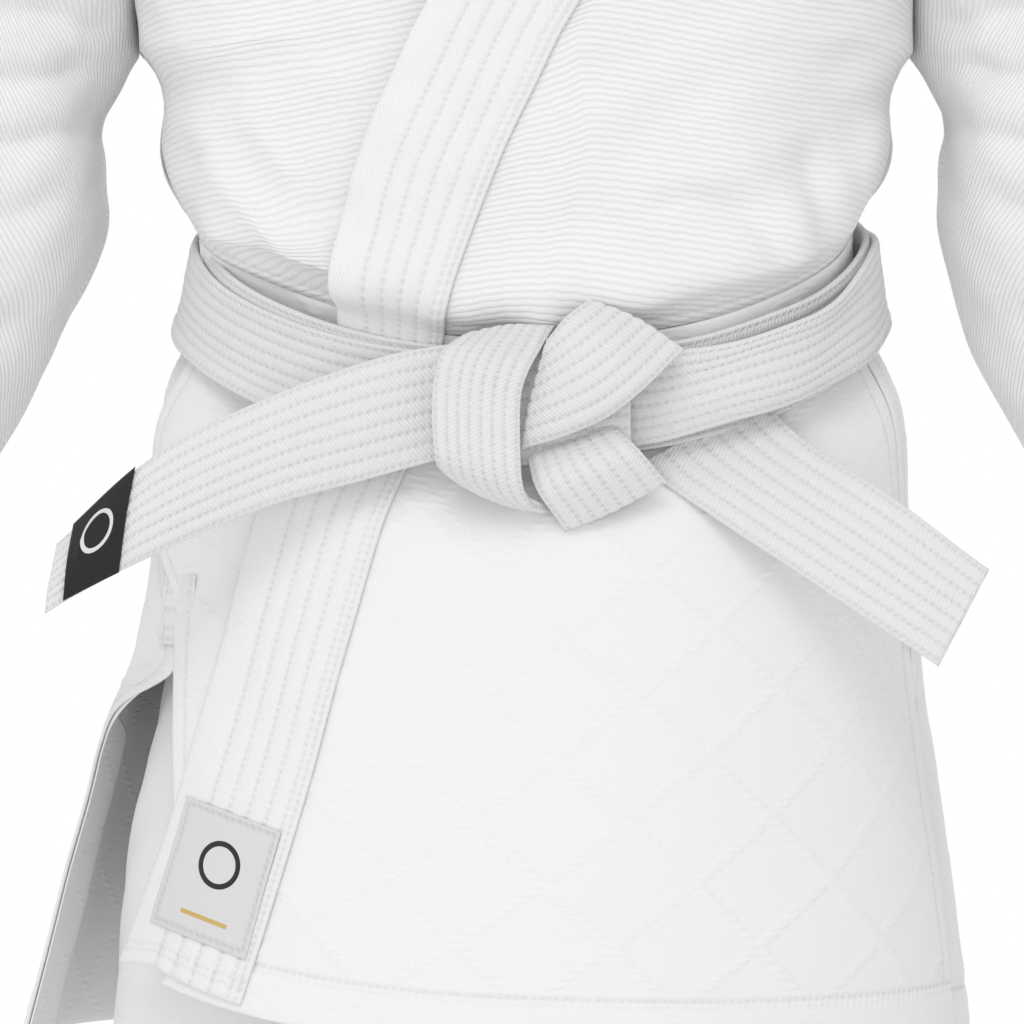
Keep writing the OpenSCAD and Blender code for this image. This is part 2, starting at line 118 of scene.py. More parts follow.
SLEEVE_INNER = [(160.6, 118), (170, 104), (176, 85), (173, 45), (183, 5), (202, -33), (224, -75), (248, -118)]
SLEEVE_OUTER = [(160.6, 386), (215, 363), (262, 318), (303, 245), (334, 160), (362, 75), (389, -10),
                (412, -80)]
SLEEVE_DEPTH = [80, 79, 76, 71, 67, 64, 61, 58]
LEG_SHAPE = [(-905, 112, 68, 74), (-600, 100, 78, 81), (-400, 92, 84, 84), (-285, 88, 84, 82),
             (-190, 84, 78, 80), (-125, 77, 68, 78)]
SEAT_SHAPE = [(-205, 146, 100), (-120, 145, 100), (0, 119, 84), (60, 115, 82)]
LEG_TOP_Z = -128.0

# ---- small maths


def at(value, table):
    xs, ys = zip(*table)
    return np.interp(value, xs, ys)


def smooth_at(value, table):
    """The table's value with its corners rounded, going straight on past its ends."""
    span = (table[-1][0] - table[0][0]) / len(table) * 0.35
    (x0, y0), (x1, y1), (x2, y2), (x3, y3) = table[0], table[1], table[-2], table[-1]
    longer = [(2 * x0 - x1, 2 * y0 - y1)] + list(table) + [(2 * x3 - x2, 2 * y3 - y2)]
    return sum(at(value + span * k, longer) for k in (-1, -0.5, 0, 0.5, 1)) / 5


def mix(a, b, t):
    return a + (b - a) * t


def ease(t):
    c = np.clip(t, 0, 1)
    return c * c * (3 - 2 * c)


def spow(value, power):
    return np.sign(value) * np.abs(value) ** power


def sind(a):
    return np.sin(np.radians(a))


def cosd(a):
    return np.cos(np.radians(a))


def spline(points, t):
    """Points on a smooth curve through the given ones, for t from 0 to 1."""
    p = np.asarray(points, float)
    p = np.vstack([2 * p[0] - p[1], p, 2 * p[-1] - p[-2]])
    s = np.clip(np.asarray(t, float), 0, 1) * (len(p) - 3)
    i = np.minimum(s.astype(int), len(p) - 4)
    f = (s - i)[..., None]
    a, b, c, d = p[i], p[i + 1], p[i + 2], p[i + 3]
    return 0.5 * (2 * b + (c - a) * f + (2 * a - 5 * b + 4 * c - d) * f**2 + (3 * b - a - 3 * c + d) * f**3)


def bump(distance, width):
    return np.exp(-((distance / width) ** 2))


# ---- the jacket's surface


def belt_z(phi):
    return BELT_LOW - BELT_DIP * cosd(phi) - BELT_RISE * cosd(2 * phi)


def waist_seam_z(phi):
    return belt_z(phi) + WAIST_SEAM_UP


def cinch(phi, z):
    return CINCH_DEPTH * np.exp(-np.abs((z - belt_z(phi)) / CINCH_REACH) ** 3)


def waist_shift(z):
    return WAIST_SHIFT * ease((z + 150) / 60) * ease((ARMPIT_Z - z) / 40)


def pinch(phi, z):
    right = RIGHT_PINCH * bump(z - 58, 24) * ease((-sind(phi) - 0.6) / 0.4)
    left = LEFT_PINCH * bump(z - 48, 16) * ease((sind(phi) - 0.7) / 0.3)
    return right - left


def body_point(phi, z):
    half_width = smooth_at(z, WIDTHS) - cinch(phi, z)
    half_depth = smooth_at(z, DEPTHS) - 0.85 * cinch(phi, z)
    x = waist_shift(z) + pinch(phi, z) + half_width * spow(sind(phi), FULLNESS)
    return np.stack([x, -half_depth * spow(cosd(phi), FULLNESS), z + 0 * phi], -1)


def angle_of(p):
    """The angle round the body, from the front to the wearer's left."""
    return np.degrees(np.arctan2(p[..., 0], -p[..., 1]))


def front_angle(x, z):
    share = np.clip((x - waist_shift(z)) / smooth_at(z, WIDTHS), -1, 1)
    return np.degrees(np.arcsin(spow(share, 1 / FULLNESS)))


def seam_phi(z):
    return mix(SIDE_SEAM, 90, ease((z - 40) / (ARMPIT_Z - 40)))


def shoulder_z(x):
    return NECK_Z - SHOULDER_DROP * np.minimum(1, np.abs(x) / ARMHOLE_X) ** 1.3


def foot_depth(x):
    share = np.minimum(1, np.abs(x) / ARMHOLE_X)
    return CHEST_DEPTH * np.maximum(0, 1 - share ** (2 / FULLNESS)) ** (FULLNESS / 2)


def chest_half(x):
    return CHEST_DEPTH - (CHEST_DEPTH - ARMHOLE_DEPTH) * (np.abs(x) / ARMHOLE_X) ** 2


def upper_point(x, t, side):
    depth = mix(foot_depth(x), chest_half(x), ease(t / 0.4)) * np.sqrt(np.maximum(0, 1 - t**3))
    return np.stack([x + 0 * t, side * depth, ARMPIT_Z + (shoulder_z(x) - ARMPIT_Z) * t], -1)


def neck_y(x):
    return NECK_BACK * np.sqrt(np.maximum(0, 1 - (x / NECK_X) ** 2))


def back_top(x):
    over_neck = 1 - (neck_y(x) / chest_half(x)) ** 2
    return np.where(np.abs(x) >= NECK_X, 1, over_neck ** (1 / 3))


def mirrored(point):
    """The same surface on the wearer's right side."""

    def flipped(u, v):
        p = point(1 - u, v)
        return p * np.array([-1, 1, 1])

    return flipped


def under(u, v):
    """The right front lies under the left one, but level with the back at its side seam."""
    return UNDER_OUT * ease(u / 0.35) + 0 * v


# ---- folds: displacements along the cloth's normal, in millimetres


def rumple(p, size, seed=0.0):
    """A gentle unevenness, from waves in several directions."""
    h = 0
    for k in range(7):
        a = 2.399 * k + seed
        d = np.array([np.cos(a), np.sin(1.7 * a), np.sin(a)]) / (size * (0.55 + 0.13 * k))
        h = h + np.sin(p @ d * 6.283 + 1.9 * k * k + seed) / (1 + 0.35 * k)
    return h / 2.4


def crease(p, route, width, height):
    """A fold along a route over the front or back, given as (x, z) points, fading at both ends."""
    q = spline(np.array(route, float), np.linspace(0, 1, 24))
    best = np.full(p.shape[:-1], 1e9)
    way = np.zeros(p.shape[:-1])
    for i in range(len(q) - 1):
        a, d = q[i], q[i + 1] - q[i]
        w = p[..., [0, 2]] - a
        t = np.clip((w @ d) / (d @ d), 0, 1)
        dist = np.hypot(w[..., 0] - t * d[0], w[..., 1] - t * d[1])
        closer = dist < best
        best = np.where(closer, dist, best)
        way = np.where(closer, (i + t) / (len(q) - 1), way)
    fade = np.sin(np.pi * np.clip(way, 0.02, 0.98)) ** 0.6
    return height * fade * (1.3 * bump(best, width) - 0.3 * bump(best, 2.4 * width))


# Folds that the belt makes in the jacket's chest: route, width and height
CHEST_FOLDS = [
    ([(-134, 74), (-118, 56), (-100, 36), (-90, 14)], 7, 3.4), ([(-120, 92), (-102, 70), (-86, 52)], 7, 2.2),
    ([(-140, 60), (-130, 44), (-120, 26)], 6, 2.6), ([(-150, 104), (-136, 84), (-122, 72)], 8, 2.4),
    ([(38, 58), (64, 65), (90, 62), (108, 44), (112, 20)], 10, 2.8),
    ([(44, 47), (62, 53), (80, 51), (94, 40), (101, 14)], 5, -2.2),
    ([(30, 47), (46, 40), (66, 33), (84, 31)], 6, -1.6), ([(-60, 54), (-76, 50), (-96, 42)], 6, -2.0),
    ([(112, 84), (116, 54), (114, 18)], 7, -2.4), ([(124, 70), (128, 46), (127, 24)], 7, 2.8),
    ([(144, 90), (138, 62), (137, 40)], 7, 2.4), ([(66, 90), (92, 76), (120, 80)], 11, 2.0),
    ([(152, 116), (128, 100), (100, 100)], 9, 2.4), ([(-154, 122), (-134, 112), (-108, 116)], 10, 2.2),
    ([(16, 60), (34, 84), (56, 98)], 11, 1.5), ([(-70, 60), (-80, 40), (-78, 18)], 8, 2.0),
]


BLOUSE = 6.5  # how far the chest bulges over the belt


def away_from_sides(phi):
    """1 at the front and the back, 0 at the sides."""
    return ease((1 - np.abs(sind(phi))) / 0.3)


def side_folds(p, side):
    """What the front and the back share at their seam, and how far a point is on its own side of it."""
    phi = angle_of(p)
    above = p[..., 2] - waist_seam_z(phi)
    share = ease(side * (np.abs(phi) - seam_phi(p[..., 2])) / 16)
    h = 1.3 * rumple(p, 120) + BLOUSE * away_from_sides(phi) * bump(above - 15, 16)
    return h * ease((above + 2) / 12), share


def chest_folds(p):
    h = 1.9 * rumple(p, 120) + 0.7 * rumple(p, 46, 2.0)
    for route, width, height in CHEST_FOLDS:
        h = h + crease(p, route, width, height)
    phi = angle_of(p)
    above = p[..., 2] - waist_seam_z(phi)
    gathers = sind(phi * 17 + 60 * sind(phi * 5)) * np.exp(-np.maximum(above, 0) / 28)
    blouse = BLOUSE * away_from_sides(phi) * bump(above - 15, 16)
    shared, share = side_folds(p, -1)
    return mix(shared, (h + 1.9 * gathers + blouse) * ease((above + 2) / 12), share)


def back_folds(p):
    phi = angle_of(p)
    above = p[..., 2] - waist_seam_z(phi)
    gathers = sind(phi * 13 + 70 * sind(phi * 3)) * np.exp(-np.maximum(above, 0) / 45)
    h = 2.0 * rumple(p, 130, 1.0) + 0.7 * rumple(p, 50, 3.0) + 1.6 * gathers
    h = h + BLOUSE * away_from_sides(phi) * bump(above - 15, 18)
    for route in ([(-150, 150), (-100, 120), (-60, 70)], [(150, 160), (96, 118), (70, 66)]):
        h = h + crease(p, route, 8, 3)
    h = h + crease(p, [(-140, 330), (-70, 290), (0, 300), (70, 285), (140, 330)], 13, 2.4)
    shared, share = side_folds(p, 1)
    return mix(shared, h * ease((above + 2) / 12), share)


def front_folds(p):
    """The folds of the fronts and of the collar band on them."""
    phi = angle_of(p)
    return chest_folds(p) + skirt_folds(p) * ease((4 - p[..., 2] + waist_seam_z(phi)) / 10)


def skirt_folds(p):
    down = np.clip((40 - p[..., 2]) / 320, 0, 1)
    phi = angle_of(p)
    flutes = sind(phi * 4 + 50 * sind(phi * 2) + 30) * down**1.5
    near_belt = sind(phi * 15) * bump(p[..., 2] - belt_z(phi) + 34, 20)
    return 2.6 * flutes + 0.9 * near_belt + 0.8 * rumple(p, 110, 4.0)


SLEEVE_FOLDS = [
    ([(164, 124), (196, 132), (232, 126)], 7, 4), ([(166, 116), (200, 104), (242, 106)], 6, 3.6),
    ([(176, 88), (206, 78), (238, 84)], 6, 3.4), ([(176, 62), (212, 48), (250, 46)], 8, 3),
    ([(180, 150), (214, 196), (238, 250)], 10, 3), ([(190, 10), (228, 6), (270, 24)], 9, 3),
    ([(330, 150), (300, 112), (262, 96)], 10, 3.2), ([(360, 70), (326, 48), (290, 44)], 10, 2.6),
    ([(230, -40), (276, -28), (322, -6)], 11, 2.4), ([(210, 330), (236, 290), (250, 240)], 12, 2.4),
]


def sleeve_folds(p):
    q = np.abs(p) * np.array([1, 0, 0]) + p * np.array([0, 1, 1])
    fade = ease((np.abs(p[..., 0]) - ARMHOLE_X) / 10)
    h = 1.8 * rumple(q, 130, 5.0 + (p[0, 0, 0] < 0)) + 0.6 * rumple(q, 48, 7.0)
    for route, width, height in SLEEVE_FOLDS:
        h = h + crease(q, route, width, height)
    return h * fade


def leg_folds(p):
    knee = bump(p[..., 2] + 500, 70)
    phi = np.degrees(np.arctan2(np.abs(p[..., 0]) - 95, -p[..., 1]))
    rings = np.sin(p[..., 2] / 13 + 1.6 * sind(phi)) * (phi > 90) * sind(np.clip(phi - 90, 0, 180))
    return 2.4 * rumple(p, 150, 6.0) + 0.7 * rumple(p, 55, 1.0) + 1.6 * knee * rings


# ---- reliefs: stitches, channels and woven lines, by the way across and along a piece

THREAD = 0.8  # half the width of a stitch
STITCH = 3.2  # from one stitch to the next


def stitch_row(across, along, place):
    """One row of running stitches: a groove, and the deeper holes between the stitches."""
    d = across - place
    hole = ease(0.5 - 1.1 * np.cos(6.283 * along / STITCH))
    return -0.26 * bump(d, 1.25) - 0.5 * bump(d, THREAD) * hole


def stitch_rows(across, along, places):
    return sum(stitch_row(across, along, place) for place in places)


def channels(across, places, height):
    """The cloth puffs up between rows of stitches."""
    h = 0
    for a, b in zip(places, places[1:]):
        t = (across - a) / (b - a)
        h = h + height * np.where((t > 0) & (t < 1), np.abs(np.sin(np.pi * np.clip(t, 0, 1))) ** 0.7, 0)
    return h


DIAMOND_W, DIAMOND_H = 60.0, 51.0  # one diamond of the woven lattice
DIAMOND_X, DIAMOND_Z = 20.0, 8.0  # how far the lattice is shifted on its cloth
PLEAT_W, PLEAT_STEP = 7.0, 3.4  # the short level pleats that draw its lines


def diamonds(across, along):
    """The woven lattice: lines made of short level pleats."""
    a = (across + DIAMOND_X) / DIAMOND_W + (along + DIAMOND_Z) / DIAMOND_H
    b = (across + DIAMOND_X) / DIAMOND_W - (along + DIAMOND_Z) / DIAMOND_H
    off_line = np.minimum(np.abs(a - np.round(a)), np.abs(b - np.round(b))) * DIAMOND_W
    pleat = 0.5 + 0.5 * np.cos(6.283 * along / PLEAT_STEP)
    return 0.42 * ease((PLEAT_W / 2 - off_line) / 1.5 + 0.5) * (0.3 + 0.7 * pleat)


GROOVE_FULL = 0.9  # the depth of stitching at which its painted shade is full
RIB_DROOP = 0.14  # how much the ribs of the weave droop on their way to the sides


# ---- cloth


def cloth(name, point, size, material, out=0.0, t=2.0, step=1.5, closed=False, relief=None, folds=None,
          mirror=False, level=False):
    """A piece of cloth over the surface point(u, v), where size is about how wide and long it is.

    Its weave runs along u, or, on a level piece, at one height that droops a little towards the sides.
    """
    nu, nv = (max(4, int(length / (step * STEP_SCALE))) for length in size)
    fn = mirrored(point) if mirror else point
    u = np.arange(nu if closed else nu + 1) / nu
    v = np.arange(nv + 1) / nv
    p = fn(*np.meshgrid(u, v, indexing="ij"))
    n, m = p.shape[:2]

    def across_difference(q):
        if closed:
            return np.roll(q, -1, 0) - np.roll(q, 1, 0)
        return np.gradient(q, axis=0)

    def normals(q):
        c = np.cross(across_difference(q), np.gradient(q, axis=1))
        return c / np.maximum(np.linalg.norm(c, axis=-1, keepdims=True), 1e-9)

    def blurred(own):
        """The directions averaged with their neighbours, so that a far layer doesn't cross itself."""
        q = own
        for reach in (1, 2, 4):
            for axis, size_here in enumerate(q.shape[:2]):
                index = np.arange(size_here)
                near = [np.clip(index + k, 0, size_here - 1) for k in (-reach, reach)]
                if closed and axis == 0:
                    near = [(index + k) % size_here for k in (-reach, reach)]
                q = (q.take(near[0], axis) + 2 * q + q.take(near[1], axis)) / 4
        inside = ease(6 * np.minimum(v, 1 - v))[None, :]
        if not closed:
            inside = inside * ease(6 * np.minimum(u, 1 - u))[:, None]
        q = own + (q - own) * inside[..., None]
        return q / np.maximum(np.linalg.norm(q, axis=-1, keepdims=True), 1e-9)

    loop = np.concatenate([p, p[:1]]) if closed else p
    foot = (p[:, :1, 2] + RIB_DROOP * np.abs(p[:, :1, 0])) if level else 0.0
    step_u = np.linalg.norm(np.diff(loop, axis=0), axis=-1)
    across = np.concatenate([np.zeros((1, m)), np.cumsum(step_u, 0)])
    across -= across[across.shape[0] // 2]
    step_v = np.linalg.norm(np.diff(p, axis=1), axis=-1)
    along = np.concatenate([np.zeros((n, 1)), np.cumsum(step_v, 1)], 1)
    mean_along = np.broadcast_to(along.mean(0), along.shape)
    if folds is not None:
        p = p + normals(p) * folds(p)[..., None]
    normal = normals(p)
    edge = np.ones((n, m))
    rounding = (0.35, 0.75, 0.93)
    for k, share in enumerate(rounding):
        edge[:, [k, m - 1 - k]] = np.minimum(edge[:, [k, m - 1 - k]], share)
        if not closed:
            edge[[k, n - 1 - k]] = np.minimum(edge[[k, n - 1 - k]], share)
    height = relief(across[:n], mean_along, u[:, None] + 0 * along, v + 0 * along) if relief else 0 * along
    height = height + 0 * along
    middle = (out(u[:, None], v[None]) if callable(out) else out) - t / 2
    centre = p + blurred(normal) * (middle + 0 * along)[..., None]
    outer = centre + normal * ((t / 2 + height) * edge)[..., None]
    inner = centre - normal * (t / 2 * edge)[..., None]

    quads, corner_uv = [], []
    last = n if closed else n - 1
    gi, gj = (g.ravel() for g in np.meshgrid(np.arange(last), np.arange(m - 1), indexing="ij"))
    wide = np.concatenate([along, along[:1]]) if closed else along + foot
    uv = np.stack([across, wide], -1) * MM

    def add(corners, layers):
        ids = [(i % n) * m + j + layer * n * m for (i, j), layer in zip(corners, layers)]
        quads.append(np.stack(ids, -1))
        corner_uv.append(np.stack([uv[i, j] for i, j in corners], 1))

    add([(gi, gj), (gi + 1, gj), (gi + 1, gj + 1), (gi, gj + 1)], [0, 0, 0, 0])
    add([(gi, gj), (gi, gj + 1), (gi + 1, gj + 1), (gi + 1, gj)], [1, 1, 1, 1])
    i, j0, j1 = np.arange(last), np.zeros(last, int), np.full(last, m - 1)
    add([(i + 1, j0), (i, j0), (i, j0), (i + 1, j0)], [0, 0, 1, 1])
    add([(i, j1), (i + 1, j1), (i + 1, j1), (i, j1)], [0, 0, 1, 1])
    if not closed:
        j, i0, i1 = np.arange(m - 1), np.zeros(m - 1, int), np.full(m - 1, n - 1)
        add([(i0, j), (i0, j + 1), (i0, j + 1), (i0, j)], [0, 0, 1, 1])
        add([(i1, j + 1), (i1, j), (i1, j), (i1, j + 1)], [0, 0, 1, 1])
    faces = np.concatenate(quads)
    mesh = bpy.data.meshes.new(name)
    points = np.concatenate([outer.reshape(-1, 3), inner.reshape(-1, 3)]) * MM
    mesh.vertices.add(len(points))
    mesh.vertices.foreach_set("co", points.ravel())
    mesh.loops.add(faces.size)
    mesh.loops.foreach_set("vertex_index", faces.ravel().astype(np.int32))
    mesh.polygons.add(len(faces))
    mesh.polygons.foreach_set("loop_start", np.arange(0, faces.size, 4, dtype=np.int32))
    # How deep each point lies in stitch holes and grooves, which the materials paint as shade
    groove = mesh.attributes.new("groove", "FLOAT", "POINT")
    depth = np.concatenate([np.clip(-height / GROOVE_FULL, 0, 1).ravel(), np.zeros(n * m)])
    groove.data.foreach_set("value", depth.astype(np.float32))
    layer = mesh.uv_layers.new(name="weave")
    layer.data.foreach_set("uv", np.concatenate(corner_uv).ravel())
    mesh.update(calc_edges=True)
    mesh.validate()
    mesh.polygons.foreach_set("use_smooth", np.ones(len(mesh.polygons), bool))
    mesh.materials.append(MATERIALS[material])
    piece = bpy.data.objects.new(name, mesh)
    into_scene(piece)
    return piece


def place(piece, body, *nodes, moving=None, start=None, end=None, held="hung"):
    """Hangs a piece on the body it rides on, or bakes its transform in place if it moves, and hides the CAD
    parts it stands for.
    """
    if moving:
        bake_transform(piece)
    else:
        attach(piece, body)
    if nodes:
        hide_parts(*nodes)


# ---- materials


STITCH_PAINTED_SHADE = 0.25  # how far the painted shade darkens the deepest stitch holes and grooves


class Nodes:
    """Short names for building one material's nodes."""

    def __init__(self, name, base, roughness):
        self.mat = MATERIALS[name] = bpy.data.materials.new(f"{name}_look")
        self.mat.use_nodes = True
        self.tree = self.mat.node_tree
        self.shader = self.tree.nodes["Principled BSDF"]
        looks = {"Base Color": (*base, 1), "Roughness": roughness, "Sheen Weight": 0.25,
                 "Sheen Roughness": 0.5, "Specular IOR Level": 0.2}
        for socket, value in looks.items():
            self.shader.inputs[socket].default_value = value
        uv = self.add("ShaderNodeUVMap")
        uv.uv_map = "weave"
        split = self.add("ShaderNodeSeparateXYZ")
        self.link(uv.outputs[0], split.inputs[0])
        self.uv, self.u, self.v = uv.outputs[0], split.outputs[0], split.outputs[1]

    def add(self, kind):
        return self.tree.nodes.new(kind)

    def link(self, a, b):
        self.tree.links.new(a, b)

    def math(self, operation, a, b=0.0, c=0.0):
        node = self.add("ShaderNodeMath")
        node.operation = operation
        for socket, value in zip(node.inputs, (a, b, c)):
            if isinstance(value, (int, float)):
                socket.default_value = value
            else:
                self.link(value, socket)
        return node.outputs[0]

    times = partialmethod(math, "MULTIPLY")
    plus = partialmethod(math, "ADD")
    minus = partialmethod(math, "SUBTRACT")
    times_plus = partialmethod(math, "MULTIPLY_ADD")

    def wave(self, value, length, shift=0.0):
        """A sine of a distance in metres, from 0 to 1."""
        phase = self.plus(self.times(value, 6.2832 / length), shift)
        return self.times_plus(self.math("SINE", phase), 0.5, 0.5)

    def noise(self, scale, detail=2.0, by=None):
        node = self.add("ShaderNodeTexNoise")
        node.inputs["Scale"].default_value = scale
        node.inputs["Detail"].default_value = detail
        self.link(by or self.uv, node.inputs["Vector"])
        return node.outputs["Fac"]

    def ramp(self, value, low, high):
        node = self.add("ShaderNodeMix")
        node.data_type = "RGBA"
        node.inputs[6].default_value = (*low, 1)
        node.inputs[7].default_value = (*high, 1)
        self.link(value, node.inputs[0])
        return node.outputs[2]

    def finish(self, height, depth, low, high, mottle=400.0):
        node = self.add("ShaderNodeBump")
        node.inputs["Strength"].default_value = 0.9
        node.inputs["Distance"].default_value = depth
        self.link(height, node.inputs["Height"])
        self.link(node.outputs[0], self.shader.inputs["Normal"])
        # Painted shade with a random mottle: the weave's low parts get the darker colour
        painted_shade_and_mottle = self.times_plus(height, 0.75, self.times(self.noise(mottle), 0.25))
        self.colour = self.ramp(painted_shade_and_mottle, low, high)
        # Painted shade: the colour darkens with the depth of stitch holes and grooves
        groove = self.add("ShaderNodeAttribute")
        groove.attribute_name = "groove"
        self.mark(self.times(groove.outputs["Fac"], STITCH_PAINTED_SHADE), [c * 0.4 for c in low])
        return self

    def ring(self, middle, radius, width):
        """1 on a woven ring round the middle of a label, in metres."""
        square = self.math("POWER", self.minus(self.v, middle), 2.0)
        away = self.math("SQRT", self.times_plus(self.u, self.u, square))
        return self.math("LESS_THAN", self.math("ABSOLUTE", self.minus(away, radius)), width / 2)

    def bar(self, height, half_length, width):
        """1 on a level bar across a label."""
        near = self.math("LESS_THAN", self.math("ABSOLUTE", self.minus(self.v, height)), width / 2)
        return self.times(near, self.math("LESS_THAN", self.math("ABSOLUTE", self.u), half_length))

    def mark(self, mask, colour):
        node = self.add("ShaderNodeMix")
        node.data_type = "RGBA"
        self.link(mask, node.inputs[0])
        self.link(self.colour, node.inputs[6])
        node.inputs[7].default_value = (*colour, 1)
        self.colour = node.outputs[2]
        self.link(self.colour, self.shader.inputs["Base Color"])


def rice_weave(name):
    """Broad level ribs with thin grooves between them, a little wavy."""
    m = Nodes(name, (0.86, 0.86, 0.85), 0.92)
    warp = m.times(m.minus(m.noise(190, 1), 0.5), 0.0006)
    sway = m.times(m.wave(m.u, 0.0085), 0.00022)
    across = m.plus(m.plus(m.v, warp), sway)
    ribs = m.math("POWER", m.wave(across, 0.0028), 0.4)
    grain = m.wave(m.plus(m.u, m.times(m.v, 0.35)), 0.0042)
    threads = m.wave(m.u, 0.0009)
    height = m.times(ribs, m.times_plus(grain, 0.16, 0.8))
    height = m.times_plus(threads, 0.05, height)
    return m.finish(height, 0.00036, (0.78, 0.78, 0.775), (0.885, 0.885, 0.88))


def diamond_weave(name):
    """A fine plain weave, with the lattice's pleats on the same lines as the cloth's relief."""
    m = Nodes(name, (0.87, 0.87, 0.865), 0.9)
    a = m.times(m.plus(m.u, DIAMOND_X * MM), 1 / (DIAMOND_W * MM))
    b = m.times(m.plus(m.v, DIAMOND_Z * MM), 1 / (DIAMOND_H * MM))
    off_a = m.math("PINGPONG", m.plus(a, b), 0.5)
    off_b = m.math("PINGPONG", m.minus(a, b), 0.5)
    off_line = m.math("MINIMUM", off_a, off_b)
    on_line = m.minus(1.0, m.math("MINIMUM", m.times(off_line, 2 * DIAMOND_W / PLEAT_W), 1.0))
    pleat = m.times(m.math("POWER", on_line, 0.5), m.wave(m.v, PLEAT_STEP * MM, 1.5708))
    threads = m.times(m.wave(m.u, 0.0011), m.wave(m.v, 0.0011))
    height = m.times_plus(threads, 0.12, m.times_plus(pleat, 0.6, 0.2))
    return m.finish(height, 0.0004, (0.84, 0.84, 0.835), (0.87, 0.87, 0.865))


def plain_weave(name, pitch, depth, low, high):
    m = Nodes(name, high, 0.9)
    wobble = m.times(m.noise(500, 1), 0.0006)
    a = m.wave(m.plus(m.u, wobble), pitch)
    b = m.wave(m.plus(m.v, wobble), pitch, 1.2)
    height = m.times_plus(m.times(a, b), 0.7, m.times(m.noise(1800, 1), 0.3))
    return m.finish(height, depth, low, high)


def twill(name, pitch, depth, low, high):
    m = Nodes(name, high, 0.9)
    slant = m.times_plus(m.v, 0.62, m.u)
    slant = m.times_plus(m.noise(420, 1), 0.0007, slant)
    height = m.times_plus(m.wave(slant, pitch), 0.75, m.times(m.wave(m.v, pitch * 0.8), 0.25))
    return m.finish(height, depth, low, high)


rice_weave(RICE)
diamond_weave(QUILT)
twill(BAND, 0.0013, 0.00018, (0.81, 0.81, 0.805), (0.88, 0.88, 0.875))
twill(BELT, 0.0016, 0.00026, (0.74, 0.74, 0.735), (0.82, 0.82, 0.815))
plain_weave(TROUSER, 0.0009, 0.00012, (0.82, 0.82, 0.815), (0.87, 0.87, 0.865))
label_look = twill(LABEL, 0.0007, 0.0001, (0.66, 0.66, 0.66), (0.76, 0.76, 0.76))
label_look.mark(label_look.ring(0.031, 0.0085, 0.0022), (0.03, 0.03, 0.032))
label_look.mark(label_look.bar(0.009, 0.011, 0.0018), (0.62, 0.44, 0.16))
tag_look = twill(TAG, 0.0007, 0.0001, (0.012, 0.012, 0.014), (0.035, 0.035, 0.038))
tag_look.mark(tag_look.ring(0.022, 0.0075, 0.0018), (0.72, 0.72, 0.72))

# ---- jacket body


def lapel_mid(z):
    return (smooth_at(z, LAPEL_FREE) + smooth_at(z, LAPEL_SEWN)) / 2


def level_angle(x):
    """The angle at armpit height of a point that far from the middle."""
    return np.degrees(np.arcsin(spow(np.clip(x / ARMHOLE_X, -1, 1), 1 / FULLNESS)))


def rise(v):
    """The share of the way up from armpit to shoulder, for v in the upper half of a panel."""
    return sind(np.clip(v - 0.5, 0, 0.5) * 2 * 89.5)


def front_panel(u, v):
    z0 = mix(waist_seam_z(-20), ARMPIT_Z, np.minimum(v * 2, 1))
    t = rise(v)
    x = mix(at(t, LAPEL_SEWN_UP) - LAPEL_W / 2 * mix(1.18, 0.3, t), ARMHOLE_X, u)
    phi = mix(front_angle(lapel_mid(z0), z0), seam_phi(z0), u)
    phi = mix(phi, level_angle(x), ease(v * 2))
    low = body_point(phi, mix(waist_seam_z(phi), ARMPIT_Z, np.minimum(v * 2, 1)))
    return np.where((v < 0.5)[..., None], low, upper_point(x, t, -1))


def back_panel(u, v):
    z0 = mix(waist_seam_z(120), ARMPIT_Z, np.minimum(v * 2, 1))
    x = mix(ARMHOLE_X, 0, u)
    phi = mix(mix(seam_phi(z0), 180, u), 180 - level_angle(x), ease(v * 2))
    low = body_point(phi, mix(waist_seam_z(phi), ARMPIT_Z, np.minimum(v * 2, 1)))
    return np.where((v < 0.5)[..., None], low, upper_point(x, rise(v) * back_top(x), 1))


def seam_relief(sides):
    """Seams at the chosen edges: the cloth dips into the seam and a row of stitches runs beside it."""

    def relief(across, along, u, v):
        h = 0
        if "left" in sides:
            d = across - across[:1]
            h = h - 0.9 * bump(d, 1.6) + stitch_row(d, along, 6)
        if "right" in sides:
            d = across[-1:] - across
            h = h - 0.9 * bump(d, 1.6) + stitch_row(d, along, 6)
        if "bottom" in sides:
            h = h - 1.2 * bump(along, 2.0) + stitch_row(along, across, 5)
        return h

    return relief


def under_chest(u, v):
    """The same, and level with the sleeve and the shoulder line too."""
    return UNDER_OUT * ease(u / 0.45) * ease((1 - v) / 0.08)


def make_panels():
    for side, mirror in SIDES:
        seam = "left" if mirror else "right"
        front = cloth(f"{side}_chest", front_panel, (215, 420), RICE, mirror=mirror, level=True,
                      out=under_chest if mirror else 0, folds=chest_folds,
                      relief=seam_relief((seam, "bottom")))
        place(front, "jacket", f"{side}_front_panel")
        back = cloth(f"{side}_back", back_panel, (200, 400), RICE, mirror=mirror, level=True,
                     folds=back_folds, relief=seam_relief(("left", "right", "bottom")))
        place(back, "jacket", f"{side}_back_panel")
        patch = cloth(f"{side}_shoulder_reinforcement", shoulder_patch, (76, 165), BAND, out=4.2, t=1.8,
                      step=1.0, relief=patch_relief(9), folds=lambda p: 1.2 * rumple(p, 120), mirror=mirror)
        place(patch, "jacket", f"{side}_shoulder_patch")


def shoulder_patch(u, v):
    a = mix(52, 128, v)
    x = mix(84, ARMHOLE_X - 1, u)
    front = upper_point(x, sind(a), -1)
    front[..., 1] = np.where(a < 90, front[..., 1], -front[..., 1])
    return front


